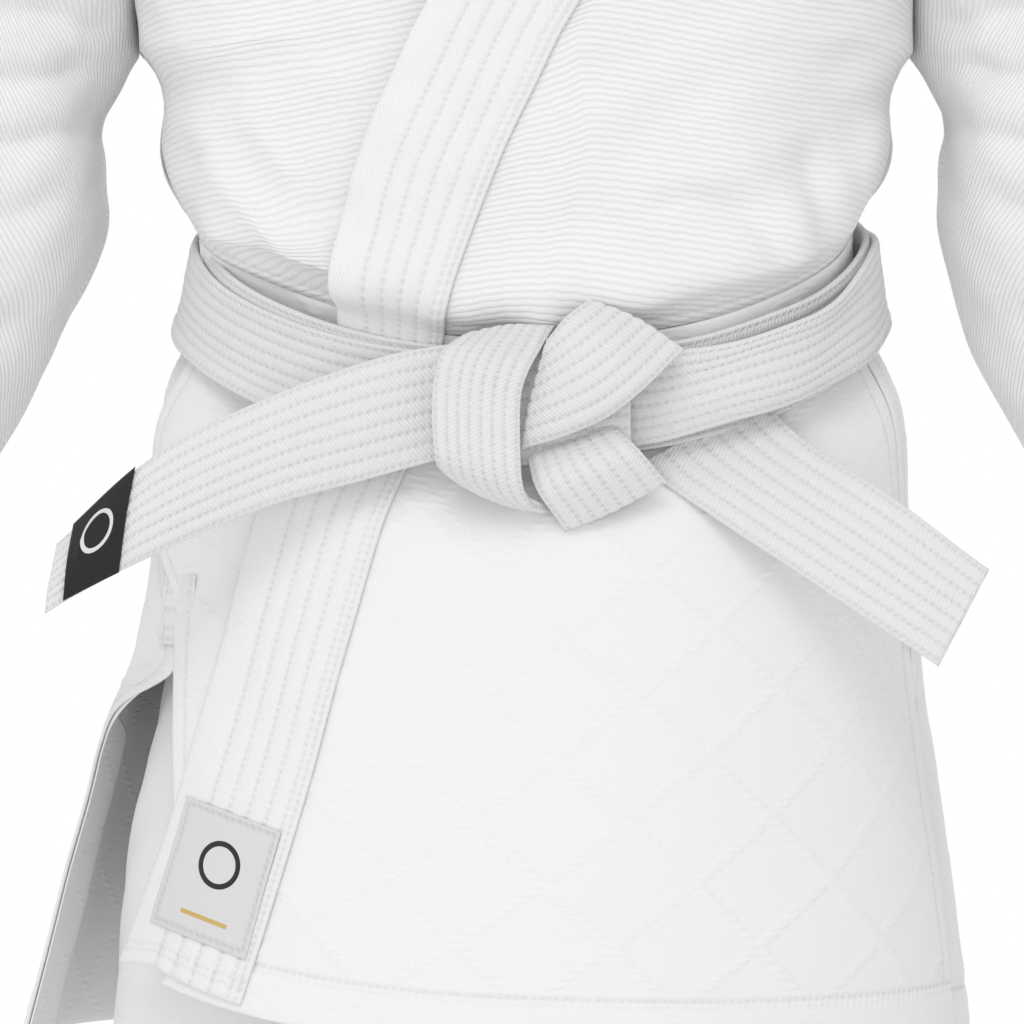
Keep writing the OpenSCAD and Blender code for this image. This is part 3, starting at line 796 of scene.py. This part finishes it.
def patch_relief(spacing, inset=2.5):
    """A border row and parallel rows across a sewn-on patch."""

    def relief(across, along, u, v):
        edge_a = np.minimum(across - across[:1], across[-1:] - across)
        edge_b = np.minimum(along, along[:, -1:] - along)
        rows = np.arange(spacing, along.max() - spacing / 2, spacing)
        inside = (edge_a > inset) & (edge_b > inset)
        h = stitch_rows(along, across, rows) * inside + channels(along, rows, 0.35) * inside
        return h + stitch_row(edge_a, along, inset) + stitch_row(edge_b, across, inset)

    return relief


# ---- collar band

LAPEL_ROWS = [15, 23, 31, 39, 46.5, 49.5]


def lapel_edge_up(t):
    return upper_point(at(t, LAPEL_SEWN_UP), t, -1)


def unit(v):
    return v / np.maximum(np.linalg.norm(v, axis=-1, keepdims=True), 1e-9)


def lapel(u, v):
    x_low = mix(at(HEM_Z, LAPEL_FREE), at(HEM_Z, LAPEL_SEWN), u)
    hem = front_hem(np.degrees(np.arcsin(x_low / at(HEM_Z, WIDTHS)))) + 0.5
    z = mix(hem, ARMPIT_Z, np.minimum(v / 0.6, 1))
    low = body_point(front_angle(mix(smooth_at(z, LAPEL_FREE), smooth_at(z, LAPEL_SEWN), u), z), z)
    t = sind(np.clip((v - 0.6) / 0.4, 0, 1) * 86)
    edge = lapel_edge_up(t)
    lying = upper_point(at(t, LAPEL_FREE_UP), t, -1) - edge
    standing = ease((t - 0.25) / 0.65)[..., None]
    length = mix(np.linalg.norm(lying, axis=-1), LAPEL_W, ease(t / 0.25))
    lean = unit(mix(lying, np.array([-18.0, 0, 46]), standing)) * length[..., None]
    surface_up = upper_point(mix(at(t, LAPEL_FREE_UP), at(t, LAPEL_SEWN_UP), u), t, -1)
    high = mix(surface_up, edge + lean * (1 - u)[..., None], ease((t - 0.05) / 0.3)[..., None])
    return np.where((v < 0.6)[..., None], low, high)


def band_rows(share, along):
    return stitch_rows(share, along, LAPEL_ROWS) + channels(share, [0] + LAPEL_ROWS, 0.45)


def lapel_relief(flip):
    def relief(across, along, u, v):
        share = (1 - u if flip else u) * 52
        return band_rows(share, along) + stitch_row(along, across, 6) + stitch_row(along, across, 9)

    return relief


def collar(u, v):
    a = mix(180, 0, u)
    x = NECK_X * cosd(a)
    y = neck_y(x)
    foot = np.stack([x, y, upper_point(x, back_top(x), 1)[..., 2]], -1)
    lean = unit(np.stack([-0.36 * x / NECK_X, -0.3 * y / NECK_BACK, 0.93 + 0 * x], -1))
    return foot + lean * (LAPEL_W * v)[..., None]


LABEL_CORNER, LABEL_ACROSS, LABEL_UP = (-144, -233), (36, -13), (14, 50)


def label(u, v):
    x, z = (c + a * u + b * v for c, a, b in zip(LABEL_CORNER, LABEL_ACROSS, LABEL_UP))
    return body_point(front_angle(x, z), z)


def label_relief(across, along, u, v):
    ring = np.hypot(across, along - 31)
    side = np.minimum(across - across[:1], across[-1:] - across)
    edge = np.minimum(side, np.minimum(along, along[:, -1:] - along))
    return 0.25 * bump(ring - 8.5, 1.1) + stitch_row(edge, across + along, 2.2)


FLAP_BLEND = {"start": (0, 0, -92), "end": (0, 0, -156)}


def make_collar():
    for side, mirror in SIDES:
        band = cloth(f"{side}_collar_band", lapel, (52, 760), BAND,
                     out=UNDER_LAPEL_OUT if mirror else LAPEL_OUT, t=2.6, step=0.75,
                     relief=lapel_relief(mirror), folds=front_folds, mirror=mirror)
        place(band, "jacket", f"{side}_lapel", f"{side}_lapel_end", moving="front_flap", **FLAP_BLEND)
    neck = cloth("neck_collar_band", collar, (230, 52), BAND, out=0.8, t=3.0, step=0.75,
                 relief=lambda across, along, u, v: band_rows(52 - along, across))
    place(neck, "jacket", "neck_collar")
    tag = cloth("collar_label", label, (38, 52), LABEL, out=LAPEL_OUT + 1.5, t=0.9, step=0.5,
                relief=label_relief, folds=front_folds)
    place(tag, "front_flap", "lapel_label", held="stretched")


# ---- skirt


def front_hem(phi):
    """The front's hem rises towards the collar band's free edge."""
    x = at(HEM_Z, WIDTHS) * sind(phi)
    return HEM_Z + 1 + 34 * np.exp(-np.maximum(x + 158, 0) / 80)


def skirt_height(v, phi, hem=None):
    return mix(HEM_Z + 1 if hem is None else hem, waist_seam_z(phi), v)


def front_skirt(u, v):
    z0 = mix(HEM_Z, waist_seam_z(-20), v)
    phi = mix(front_angle(lapel_mid(z0), z0), SIDE_SEAM - 0.6, u)
    return body_point(phi, skirt_height(v, phi, front_hem(phi)))


def right_seam(z):
    """The right side seam bends forward on its way down to the vent."""
    return mix(VENT_PHI, SIDE_SEAM, ease((z - VENT_Z) / 50))


def right_front_skirt(u, v):
    z0 = mix(HEM_Z, waist_seam_z(-20), v)
    z_side = skirt_height(v, SIDE_SEAM)
    open_edge = mix(48, VENT_PHI, ease((z_side - HEM_Z) / (VENT_Z - HEM_Z)))
    side = np.where(z_side > VENT_Z, right_seam(z_side) - 0.2, open_edge)
    phi = mix(front_angle(lapel_mid(z0), z0), side, u)
    return body_point(phi, skirt_height(v, phi, front_hem(-phi) + 4))


def back_point(phi, z):
    """The back skirt, which stands out at the right vent and turns outward at its edge."""
    p = body_point(phi, z)
    low = np.clip((VENT_Z - z) / (VENT_Z - HEM_Z), 0, 1)
    p[..., 0] -= RIGHT_FLARE * ease((phi - 195) / 75) * low**1.9
    p[..., 0] -= 7 * ease((phi - BACK_EDGE + 9) / 9) * ease(low / 0.3)
    return p


def vent_hem(u, v):
    z = mix(HEM_Z + 2, VENT_Z - 6, v)
    edge = mix(360.2 - right_seam(z), BACK_EDGE, ease((VENT_Z - z) / 40))
    return back_point(mix(edge - 9, edge - 0.2, u), z)


def back_skirt(u, v):
    z_side = skirt_height(v, SIDE_SEAM)
    opening = ease((VENT_Z - z_side) / 40)
    right_edge = mix(360.2 - right_seam(z_side), BACK_EDGE, opening)
    phi = mix(SIDE_SEAM + 0.2 - 2.5 * opening, right_edge, u)
    p = back_point(phi, skirt_height(v, phi))
    p[..., 0] -= 3.2 * opening * ease((SIDE_SEAM + 8 - phi) / 8)
    return p


def skirt_relief(across, along, u, v):
    side = np.minimum(across - across[:1], across[-1:] - across)
    lattice = diamonds(across, along) * ease((along - 24) / 3) * ease((side - 8) / 3)
    hem = stitch_row(along, across, 19) + stitch_row(along, across, 22) + 0.5 * ease((21 - along) / 2)
    sides = stitch_row(side, along, 9) * ease((along - 20) / 3)
    return lattice + hem + sides


def vent_patch(middle):
    def point(u, v):
        return body_point(mix(middle - 5, middle + 5, u), mix(VENT_Z + 2, VENT_Z + 30, v))

    return point


def make_skirt():
    left = cloth("left_front_skirt_cloth", front_skirt, (320, 330), QUILT, relief=skirt_relief,
                 folds=skirt_folds, step=0.9)
    place(left, "jacket", "left_front_skirt", "left_front_flap", "front_hem",
          moving="front_flap", **FLAP_BLEND)
    right = cloth("right_front_skirt_cloth", right_front_skirt, (320, 330), QUILT, out=under,
                  relief=skirt_relief, folds=skirt_folds, mirror=True, step=1.5)
    place(right, "jacket", "right_front_skirt", "right_front_flap",
          moving="front_flap", **FLAP_BLEND)
    back = cloth("back_skirt_cloth", back_skirt, (560, 310), QUILT, relief=skirt_relief,
                 folds=skirt_folds, step=1.5)
    place(back, "jacket", "back_skirt", "back_flap", "back_hem",
          moving="back_flap", **FLAP_BLEND)
    hem = cloth("right_vent_hem", vent_hem, (24, 148), QUILT, out=-2.1, t=1.2, step=1.0,
                folds=skirt_folds, relief=lambda across, along, u, v: 0 * across)
    place(hem, "jacket", moving="back_flap", **FLAP_BLEND)
    for side, mirror in SIDES:
        middle, out = (VENT_PHI, UNDER_OUT * 0.3 + 2.2) if mirror else (SIDE_SEAM, 2.2)
        patch = cloth(f"{side}_vent_reinforcement", vent_patch(middle), (26, 28), BAND, out=out, t=1.5,
                      step=0.7, relief=patch_relief(7), folds=skirt_folds, mirror=mirror)
        place(patch, "jacket", f"{side}_vent_patch")


# ---- belt and knot

BELT_ROWS = [2.2 + 5.8 * k for k in range(8)]
belt_front = -box_mm("knot_core")[1][1] - 4.5


def belt_relief(across, along, u, v):
    place_across = v * BELT_W
    return stitch_rows(place_across, across, BELT_ROWS) + channels(place_across, BELT_ROWS, 0.26)


def belt_turn(lift, slip):
    def point(u, v):
        phi = 360 * u
        lean = slip * sind(phi + 40)
        return body_point(phi, belt_z(phi) + lift + lean + BELT_W * (v - 0.5))

    return point


def belt_folds(p):
    return 0.7 * rumple(p, 90, 2.5)


def patch_between(left, right, bottom, top):
    """A surface between four edges of points: left and right go up, bottom and top go across."""

    def point(u, v):
        l, r, b, t = spline(left, v), spline(right, v), spline(bottom, u), spline(top, u)
        c = [np.array(q, float) for q in (bottom[0], bottom[-1], top[0], top[-1])]
        u, v = u[..., None], v[..., None]
        corners = (1 - u) * (1 - v) * c[0] + u * (1 - v) * c[1] + (1 - u) * v * c[2] + u * v * c[3]
        return (1 - u) * l + u * r + (1 - v) * b + v * t - corners

    return point


def strap_surface(edges, bulge):
    """A stretch of belt between its edges, standing forward in the middle by the bulge."""
    base = patch_between(*edges)

    def point(u, v):
        p = base(u, v)
        p[..., 1] -= bulge * np.sin(np.pi * np.clip(u, 0, 1)) ** 0.8 * np.sin(np.pi * np.clip(v, 0, 1)) ** 0.5
        return p

    return point


def strap_patch(name, edges, size, bulge, body, nodes, t=3.4, **moving):
    piece = cloth(name, strap_surface(edges, bulge), size, BELT, t=t, step=0.6, relief=belt_relief,
                  folds=belt_folds)
    place(piece, body, *nodes, **moving)


def over_left_end(u, v):
    """The top turn rises over the left belt end, which comes out from under it."""
    return OUTER_TURN_OUT + 9 * bump(360 * u - 36, 19) + 0 * v


def make_belt():
    turns = (("belt_under_turn", "belt_inner_turn", INNER_TURN_OUT, 1.5, -1),
             ("belt_top_turn", "belt_outer_turn", over_left_end, -2, 2.5))
    for name, node, out, lift, slip in turns:
        turn = cloth(name, belt_turn(lift, slip), (880, BELT_W), BELT, out=out, t=3.4, step=0.75, closed=True,
                     relief=belt_relief, folds=belt_folds)
        place(turn, "jacket", node, held="stretched")


KNOT_Y = {"b": -belt_front - 4, "m": -belt_front - 12, "f": -belt_front - 20}  # back, middle, front


def at_depth(points, depths):
    """Points (x, z) with a depth each, given by its letter in KNOT_Y."""
    return [(x, KNOT_Y[depth], z) for (x, z), depth in zip(points, depths)]


def make_knot():
    # The band down the middle: u goes up the strap, so that its rows run upright
    up_left = at_depth([(-17, -64), (-33, -55), (-36, -46), (-36.5, -22), (-33, -7), (-24, 1)], "bmfffb")
    up_right = at_depth([(10, -71), (3, -67), (-1, -55), (-1, -28), (3, -14), (12, 4)], "bmfffb")
    wrap_low = at_depth([(-17, -64), (-4, -69), (10, -71)], "bbb")
    wrap_high = at_depth([(-24, 1), (-6, 5), (12, 4)], "bbb")
    wrap = (wrap_low[::-1], wrap_high[::-1], up_right, up_left)
    strap_patch("knot_band", wrap, (76, 45), 3.5, "jacket", ["knot_wrap"])
    lobe_under = at_depth([(-2, -46), (2, -24), (8, -2)], "mmm")
    lobe_fold = at_depth([(63, -6), (46, 6), (25, 14)], "bbb")
    lobe_low = at_depth([(-2, -46), (16, -41), (33, -34), (48, -22), (63, -6)], "mmmmb")
    lobe_high = at_depth([(8, -2), (15, 7), (25, 14)], "mmb")
    lobe = (lobe_under, lobe_fold, lobe_low, lobe_high)
    strap_patch("knot_upper_fold", lobe, (72, 52), 7, "jacket", ["knot_upper_loop"])
    low_top = at_depth([(0, -45), (16, -40), (34, -34)], "bbb")
    low_fold = at_depth([(16, -78), (36, -70), (57, -59)], "bbb")
    low_left = at_depth([(0, -45), (4, -62), (16, -78)], "bmb")
    low_right = at_depth([(34, -34), (45, -44), (57, -59)], "bmb")
    low = (low_top, low_fold, low_left, low_right)
    strap_patch("knot_lower_fold", low, (44, 46), 5, "jacket", ["knot_lower_loop"])
    corners = at_depth([(-30, -54), (-30, -4), (42, -50), (42, -8)], "bbbb")
    inside = [[corners[a], corners[b]] for a, b in ((0, 1), (2, 3), (0, 2), (1, 3))]
    strap_patch("knot_inside", inside, (72, 45), 3, "jacket", ["knot_core"])


def tag_relief(across, along, u, v):
    ring = np.hypot(across, along - along.max() / 2)
    return 0.4 * bump(ring - 9, 1.2)


def make_belt_ends():
    near, tip = -belt_front - 4.5, -belt_front - 17
    right_top = [(-24, near, -3), (-57, near - 2, -9), (-99, near - 5, -24), (-143, near - 8, -46),
                 (-184, tip + 8, -82)]
    right_low = [(-24, near, -47), (-62, near - 3, -58), (-99, near - 6, -68), (-150, tip, -90),
                 (-187, tip - 3, -109)]
    tip_edge = [right_low[-1], (-186, tip, -96), right_top[-1]]
    base_edge = [right_low[0], (-24, near - 1, -25), right_top[0]]
    blend = {"moving": "right_belt_end", "start": (-48, 0, -30), "end": (-78, 0, -42)}
    edges = (tip_edge, base_edge, right_low[::-1], right_top[::-1])
    strap_patch("right_belt_end_strap", edges, (175, BELT_W), 1.5, "jacket", ["right_belt_end"], **blend)
    strap = strap_surface(edges, 1.5)
    tag = cloth("belt_end_label", lambda u, v: strap(mix(0.05, 0.2, u), mix(0.015, 0.985, v)), (26, 34), TAG,
                out=1.7, t=0.9, step=0.5, folds=belt_folds, relief=tag_relief)
    place(tag, "right_belt_end", "belt_label", held="stretched")
    left_top = [(90, near + 34, -18), (108, near + 27, -38), (145, near + 6, -64), (181, tip + 4, -92)]
    left_low = [(46, near + 14, -50), (58, near + 9, -61), (108, near + 1, -95), (161, tip, -130)]
    left_base = [left_low[0], (70, near + 23, -36), left_top[0]]
    left_tip = [left_low[-1], (171, tip + 1, -111), left_top[-1]]
    blend = {"moving": "left_belt_end", "start": (70, 0, -44), "end": (100, 0, -64)}
    strap_patch("left_belt_end_strap", (left_base, left_tip, left_low, left_top), (140, 48), 1.5, "jacket",
                ["left_belt_end"], **blend)


# ---- sleeves


def armhole(a):
    t = (1 - cosd(a)) / 2
    y = -np.sign(sind(a)) * ARMHOLE_DEPTH * ease(t / 0.4) * np.sqrt(np.maximum(0, 1 - t**3))
    return np.stack([ARMHOLE_X + 0.3 + 0 * a, y, ARMPIT_Z + (shoulder_z(ARMHOLE_X) - ARMPIT_Z) * t], -1)


def sleeve(outward):
    """A sleeve's surface, whose lower part hangs further out by that much."""

    def point(u, v):
        p = mix(armhole(360 * u), sleeve_tube(u, v), ease(v / 0.25)[..., None])
        p[..., 0] += outward * ease((60 - p[..., 2]) / 70)
        return p

    return point


def sleeve_tube(u, v):
    a = 360 * u
    low, high = spline(SLEEVE_INNER, v), spline(SLEEVE_OUTER, v)
    depth = spline([(d, 0) for d in SLEEVE_DEPTH], v)[..., 0]
    p = (low + high) / 2 - (high - low) / 2 * spow(cosd(a), 0.9)[..., None]
    return np.stack([p[..., 0], -depth * spow(sind(a), 0.9), p[..., 1]], -1)


def sleeve_relief(across, along, u, v):
    up = along.max() - along
    cuff = 0.5 * ease((50 - up) / 2) + stitch_rows(up, across, [5, 14, 23, 32, 41, 49])
    seam = -1.0 * bump(along, 2.0) + stitch_row(along, across, 6)
    return cuff + seam


def gusset(u, v):
    return sleeve(0)((mix(-34, 34, u) / 360) % 1, mix(0.03, 0.24, v))


def make_sleeves():
    for side, mirror in SIDES:
        sign = -1 if mirror else 1
        blend = {"moving": f"{side}_sleeve", "start": (158 * sign, 0, 250), "end": (190 * sign, 0, 250)}
        arm = cloth(f"{side}_sleeve_cloth", sleeve(RIGHT_SLEEVE_OUT if mirror else 0), (560, 500), RICE,
                    relief=sleeve_relief, folds=sleeve_folds, closed=True, mirror=mirror, step=1.6)
        place(arm, "jacket", f"{side}_sleeve", f"{side}_cuff", **blend)
        patch = cloth(f"{side}_underarm_gusset", gusset, (92, 90), BAND, out=2.2, t=1.4, step=1.0,
                      relief=patch_relief(12), folds=sleeve_folds, mirror=mirror)
        place(patch, "jacket", f"{side}_armpit_gusset", **blend)


# ---- trousers


def hips_point(phi, z):
    width, depth = (smooth_at(z, [(row[0], row[k]) for row in SEAT_SHAPE]) for k in (1, 2))
    return np.stack([width * spow(sind(phi), FULLNESS), -depth * spow(cosd(phi), FULLNESS), z], -1)


def seat(u, v):
    return hips_point(180 * u, mix(-203, WAISTBAND_Z - 38, v))


def waistband(u, v):
    return hips_point(360 * u, mix(WAISTBAND_Z - 40, WAISTBAND_Z, v))


def waistband_relief(across, along, u, v):
    rows = [4, 12, 20, 28, 36]
    return stitch_rows(along, across, rows) + channels(along, rows, 0.5)


def leg(low=None, high=LEG_TOP_Z, arc=360.0):
    bottom = ANKLE_Z if low is None else low

    def point(u, v):
        a = arc * u if arc == 360 else mix(-arc / 2, arc / 2, u)
        z = mix(bottom, high, v)
        centre, width, depth = (smooth_at(z, [(r[0], r[k]) for r in LEG_SHAPE]) for k in (1, 2, 3))
        return np.stack([centre + width * spow(sind(a), 0.94), -depth * spow(cosd(a), 0.94), z], -1)

    return point


def leg_relief(across, along, u, v):
    return 0.4 * ease((30 - along) / 2) + stitch_rows(along, across, [4, 12, 20, 28])


def make_trousers():
    band = cloth("trouser_waistband_cloth", waistband, (690, 40), TROUSER, out=2.2, t=3.2, closed=True,
                 step=1.2, relief=waistband_relief)
    place(band, "jacket", "trouser_waistband", held="gathered")
    for side, mirror in SIDES:
        sign = -1 if mirror else 1
        hips = cloth(f"{side}_trouser_hips", seat, (345, 225), TROUSER, t=1.6, step=2.0, mirror=mirror,
                     relief=seam_relief(("left", "right")), folds=lambda p: 1.4 * rumple(p, 90, 3.0))
        place(hips, "jacket", f"{side}_trouser_seat")
        blend = {"moving": f"{side}_leg", "start": (86 * sign, 0, -192), "end": (86 * sign, 0, -272)}
        tube = cloth(f"{side}_trouser_leg_cloth", leg(), (500, 777), TROUSER, t=1.6, step=2.0, closed=True,
                     relief=leg_relief, folds=leg_folds, mirror=mirror)
        place(tube, "jacket", f"{side}_trouser_leg", f"{side}_leg_hem", **blend)
        knee = cloth(f"{side}_knee_reinforcement", leg(-650, -420, 136), (185, 230), TROUSER, out=2.4,
                     t=1.4, step=1.2, relief=patch_relief(16), folds=leg_folds, mirror=mirror)
        place(knee, f"{side}_leg", f"{side}_knee_patch")


make_panels()
make_collar()
make_skirt()
make_belt()
make_knot()
make_belt_ends()
make_sleeves()
make_trousers()

# ---- floor, light and camera

FLOOR_RADIUS = 2.6


def make_floor():
    bpy.ops.mesh.primitive_circle_add(vertices=128, radius=FLOOR_RADIUS, fill_type="NGON",
                                      location=(0, 0, (ANKLE_Z - 3) * MM))
    floor = bpy.context.object
    floor.name = "floor"
    material = bpy.data.materials.new("pale_floor")
    material.use_nodes = True
    shader = material.node_tree.nodes["Principled BSDF"]
    shader.inputs["Base Color"].default_value = (0.86, 0.86, 0.86, 1)
    shader.inputs["Roughness"].default_value = 0.9
    floor.data.materials.append(material)


def area_light(name, place_at, size, power):
    light = bpy.data.lights.new(name, "AREA")
    light.size = size
    light.energy = power
    lamp = bpy.data.objects.new(name, light)
    lamp.location = place_at
    lamp.rotation_euler = (Vector((0, 0, 0)) - Vector(place_at)).to_track_quat("-Z", "Y").to_euler()
    lamp.visible_camera = False
    into_scene(lamp)


def make_light():
    world = bpy.data.worlds.new("white_room")
    bpy.context.scene.world = world
    world.use_nodes = True
    tree = world.node_tree
    seen, lit = tree.nodes.new("ShaderNodeBackground"), tree.nodes["Background"]
    for background, strength in ((seen, 1.0), (lit, 0.72)):
        background.inputs["Color"].default_value = (1, 1, 1, 1)
        background.inputs["Strength"].default_value = strength
    path = tree.nodes.new("ShaderNodeLightPath")
    either = tree.nodes.new("ShaderNodeMixShader")
    tree.links.new(path.outputs["Is Camera Ray"], either.inputs[0])
    tree.links.new(lit.outputs[0], either.inputs[1])
    tree.links.new(seen.outputs[0], either.inputs[2])
    tree.links.new(either.outputs[0], tree.nodes["World Output"].inputs["Surface"])
    area_light("key", (-0.3, -2.4, 2.1), 1.5, 22)
    area_light("fill", (-0.6, -2.7, -0.3), 1.4, 12)
    area_light("back", (0.6, 2.6, 2.0), 1.6, 34)


def make_camera():
    data = bpy.data.cameras.new("camera")
    data.sensor_width = 36
    data.lens = 213.4
    data.clip_end = 100
    camera = bpy.data.objects.new("camera", data)
    camera.location = (-0.005, -2.5, -0.070)
    camera.rotation_euler = (np.pi / 2, 0, 0)
    into_scene(camera)
    bpy.context.scene.camera = camera


make_floor()
make_light()
make_camera()
bpy.context.scene.view_settings.view_transform = "Standard"
bpy.context.view_layer.update()
